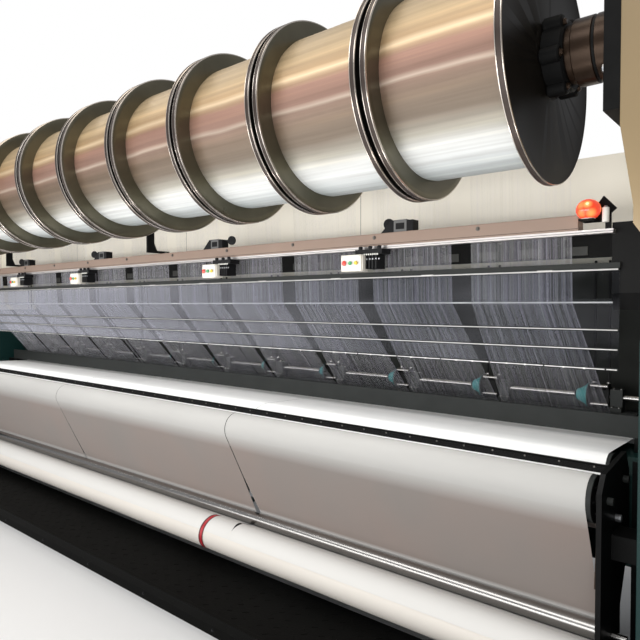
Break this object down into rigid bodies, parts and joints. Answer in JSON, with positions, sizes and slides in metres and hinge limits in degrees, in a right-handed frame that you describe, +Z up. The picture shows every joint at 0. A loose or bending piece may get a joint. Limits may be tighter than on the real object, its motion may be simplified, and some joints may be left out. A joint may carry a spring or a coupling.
{
  "type": "warp knitting machine",
  "caption": "Wide warp knitting machine with a row of sectional warp beams over a guarded knitting zone, take-down rollers, hanging cloth webs and a cloth roll.",
  "frame": {"origin": "on the floor, under the middle of the machine", "axes": "+X along the machine to its right end, -Y towards the operator, +Z up"},
  "size_m": [7.3102, 2.4728, 2.79],
  "materials": {
    "dark_flange": "satin",
    "yarn": "satin",
    "cloth": "matt",
    "cream_paint": "satin",
    "green_paint": "satin",
    "beige_paint": "satin",
    "black_metal": "satin",
    "rail_paint": "satin",
    "bright_metal": "satin",
    "chrome": "polished",
    "steel": "brushed",
    "dark_bar": "satin",
    "clear_sheet": "clear",
    "teal_plastic": "gloss",
    "box_paint": "satin",
    "black_plastic": "matt",
    "red_plastic": "gloss",
    "green_plastic": "gloss",
    "yellow_plastic": "gloss",
    "lamp_plastic": "gloss"
  },
  "bodies": {
    "frame": {"bearing_blocks": "black_metal", "hanger_posts": "black_metal", "end_housings": "green_paint", "end_stands": "beige_paint", "end_columns": "cream_paint", "end_brackets": "black_metal", "crossbeam": "cream_paint", "rear_cover": "dark_bar", "front_rail": "rail_paint", "bright_bar": "bright_metal", "guard_strip": "dark_bar", "deflection_bar": "bright_metal", "warp_sheets": "yarn", "shaft_hangers": "black_metal", "bar_guides": "black_metal", "machine_bed": "green_paint", "bed_legs": "green_paint", "platform": "black_metal", "side_plates": "black_metal", "grooved_bar": "black_metal", "cloth_webs": "cloth", "operator_boxes": "box_paint", "box_clamps": "black_plastic", "sensor_units": "black_plastic", "lamp_globe": "lamp_plastic", "lamp_bracket": "black_metal"},
    "beam_row": {"beam_flanges": "dark_flange", "beam_barrels": "black_metal", "yarn_windings": "yarn", "drive_shafts": "black_metal"},
    "rocker": {"rocker_shaft": "chrome", "clamp_brackets": "steel", "shaft_cones": "teal_plastic"},
    "front_guide_bar": {"guide_bar_front": "dark_bar"},
    "middle_guide_bar": {"guide_bar_middle": "dark_bar"},
    "back_guide_bar": {"guide_bar_back": "dark_bar"},
    "sinker_bar": {"sinker_bar": "dark_bar"},
    "needle_bar": {"needle_bar": "steel"},
    "upper_roller": {"upper_roller": "steel"},
    "middle_roller": {"middle_roller": "steel"},
    "lower_roller": {"lower_roller": "steel"},
    "chrome_roller": {"chrome_roller": "chrome"},
    "cloth_winder": {"cloth_tube": "steel", "cloth_roll": "cloth"},
    "left_guard": {"guard_bars_1": "bright_metal", "guard_sheet_1": "clear_sheet"},
    "right_guard": {"guard_bars_2": "bright_metal", "guard_sheet_2": "clear_sheet"},
    "red_button_1": {"red_button_1": "red_plastic"},
    "green_button_1": {"green_button_1": "green_plastic"},
    "yellow_button_1": {"yellow_button_1": "yellow_plastic"},
    "red_button_2": {"red_button_2": "red_plastic"},
    "green_button_2": {"green_button_2": "green_plastic"},
    "yellow_button_2": {"yellow_button_2": "yellow_plastic"},
    "red_button_3": {"red_button_3": "red_plastic"},
    "green_button_3": {"green_button_3": "green_plastic"},
    "yellow_button_3": {"yellow_button_3": "yellow_plastic"},
    "red_button_4": {"red_button_4": "red_plastic"},
    "green_button_4": {"green_button_4": "green_plastic"},
    "yellow_button_4": {"yellow_button_4": "yellow_plastic"}
  },
  "joints": [
    {"name": "beam_row_turn", "type": "hinge", "parent": "frame", "child": "beam_row", "pos_m": [0, -0.83, 2.36], "axis": [1, 0, 0], "continuous": true},
    {"name": "rocker_swing", "type": "hinge", "parent": "frame", "child": "rocker", "pos_m": [0, 0.02, 1.138], "axis": [1, 0, 0], "range_deg": [-3, 3]},
    {"name": "front_guide_bar_shog", "type": "slide", "parent": "rocker", "child": "front_guide_bar", "axis": [1, 0, 0], "range_m": [-0.008, 0.008]},
    {"name": "middle_guide_bar_shog", "type": "slide", "parent": "rocker", "child": "middle_guide_bar", "axis": [1, 0, 0], "range_m": [-0.008, 0.008]},
    {"name": "back_guide_bar_shog", "type": "slide", "parent": "rocker", "child": "back_guide_bar", "axis": [1, 0, 0], "range_m": [-0.008, 0.008]},
    {"name": "sinker_bar_slide", "type": "slide", "parent": "frame", "child": "sinker_bar", "axis": [0, 1, 0], "range_m": [-0.006, 0.006]},
    {"name": "needle_bar_lift", "type": "slide", "parent": "frame", "child": "needle_bar", "axis": [0, 0, 1], "range_m": [-0.009, 0.009]},
    {"name": "upper_roller_turn", "type": "hinge", "parent": "frame", "child": "upper_roller", "pos_m": [0, -0.392, 0.889], "axis": [1, 0, 0], "continuous": true},
    {"name": "middle_roller_turn", "type": "hinge", "parent": "frame", "child": "middle_roller", "pos_m": [0, -0.5, 0.77], "axis": [1, 0, 0], "continuous": true},
    {"name": "lower_roller_turn", "type": "hinge", "parent": "frame", "child": "lower_roller", "pos_m": [0, -0.614, 0.86], "axis": [1, 0, 0], "continuous": true},
    {"name": "chrome_roller_turn", "type": "hinge", "parent": "frame", "child": "chrome_roller", "pos_m": [0, -0.532, 0.345], "axis": [1, 0, 0], "continuous": true},
    {"name": "cloth_winder_turn", "type": "hinge", "parent": "frame", "child": "cloth_winder", "pos_m": [0, -0.672, 0.263], "axis": [1, 0, 0], "continuous": true},
    {"name": "left_guard_swing", "type": "hinge", "parent": "frame", "child": "left_guard", "pos_m": [0, -0.54, 1.68325], "axis": [-1, 0, 0], "range_deg": [0, 88]},
    {"name": "right_guard_swing", "type": "hinge", "parent": "frame", "child": "right_guard", "pos_m": [0, -0.54, 1.68325], "axis": [-1, 0, 0], "range_deg": [0, 88]},
    {"name": "red_button_1_press", "type": "slide", "parent": "frame", "child": "red_button_1", "axis": [0, 1, 0], "range_m": [0, 0.004], "stiffness_N_per_m": 300},
    {"name": "green_button_1_press", "type": "slide", "parent": "frame", "child": "green_button_1", "axis": [0, 1, 0], "range_m": [0, 0.004], "stiffness_N_per_m": 300},
    {"name": "yellow_button_1_press", "type": "slide", "parent": "frame", "child": "yellow_button_1", "axis": [0, 1, 0], "range_m": [0, 0.004], "stiffness_N_per_m": 300},
    {"name": "red_button_2_press", "type": "slide", "parent": "frame", "child": "red_button_2", "axis": [0, 1, 0], "range_m": [0, 0.004], "stiffness_N_per_m": 300},
    {"name": "green_button_2_press", "type": "slide", "parent": "frame", "child": "green_button_2", "axis": [0, 1, 0], "range_m": [0, 0.004], "stiffness_N_per_m": 300},
    {"name": "yellow_button_2_press", "type": "slide", "parent": "frame", "child": "yellow_button_2", "axis": [0, 1, 0], "range_m": [0, 0.004], "stiffness_N_per_m": 300},
    {"name": "red_button_3_press", "type": "slide", "parent": "frame", "child": "red_button_3", "axis": [0, 1, 0], "range_m": [0, 0.004], "stiffness_N_per_m": 300},
    {"name": "green_button_3_press", "type": "slide", "parent": "frame", "child": "green_button_3", "axis": [0, 1, 0], "range_m": [0, 0.004], "stiffness_N_per_m": 300},
    {"name": "yellow_button_3_press", "type": "slide", "parent": "frame", "child": "yellow_button_3", "axis": [0, 1, 0], "range_m": [0, 0.004], "stiffness_N_per_m": 300},
    {"name": "red_button_4_press", "type": "slide", "parent": "frame", "child": "red_button_4", "axis": [0, 1, 0], "range_m": [0, 0.004], "stiffness_N_per_m": 300},
    {"name": "green_button_4_press", "type": "slide", "parent": "frame", "child": "green_button_4", "axis": [0, 1, 0], "range_m": [0, 0.004], "stiffness_N_per_m": 300},
    {"name": "yellow_button_4_press", "type": "slide", "parent": "frame", "child": "yellow_button_4", "axis": [0, 1, 0], "range_m": [0, 0.004], "stiffness_N_per_m": 300}
  ],
  "couplings": [
    {"joint": "middle_roller_turn", "follows": "upper_roller_turn", "ratio": -1.7308},
    {"joint": "lower_roller_turn", "follows": "upper_roller_turn", "ratio": 1.0588}
  ]
}
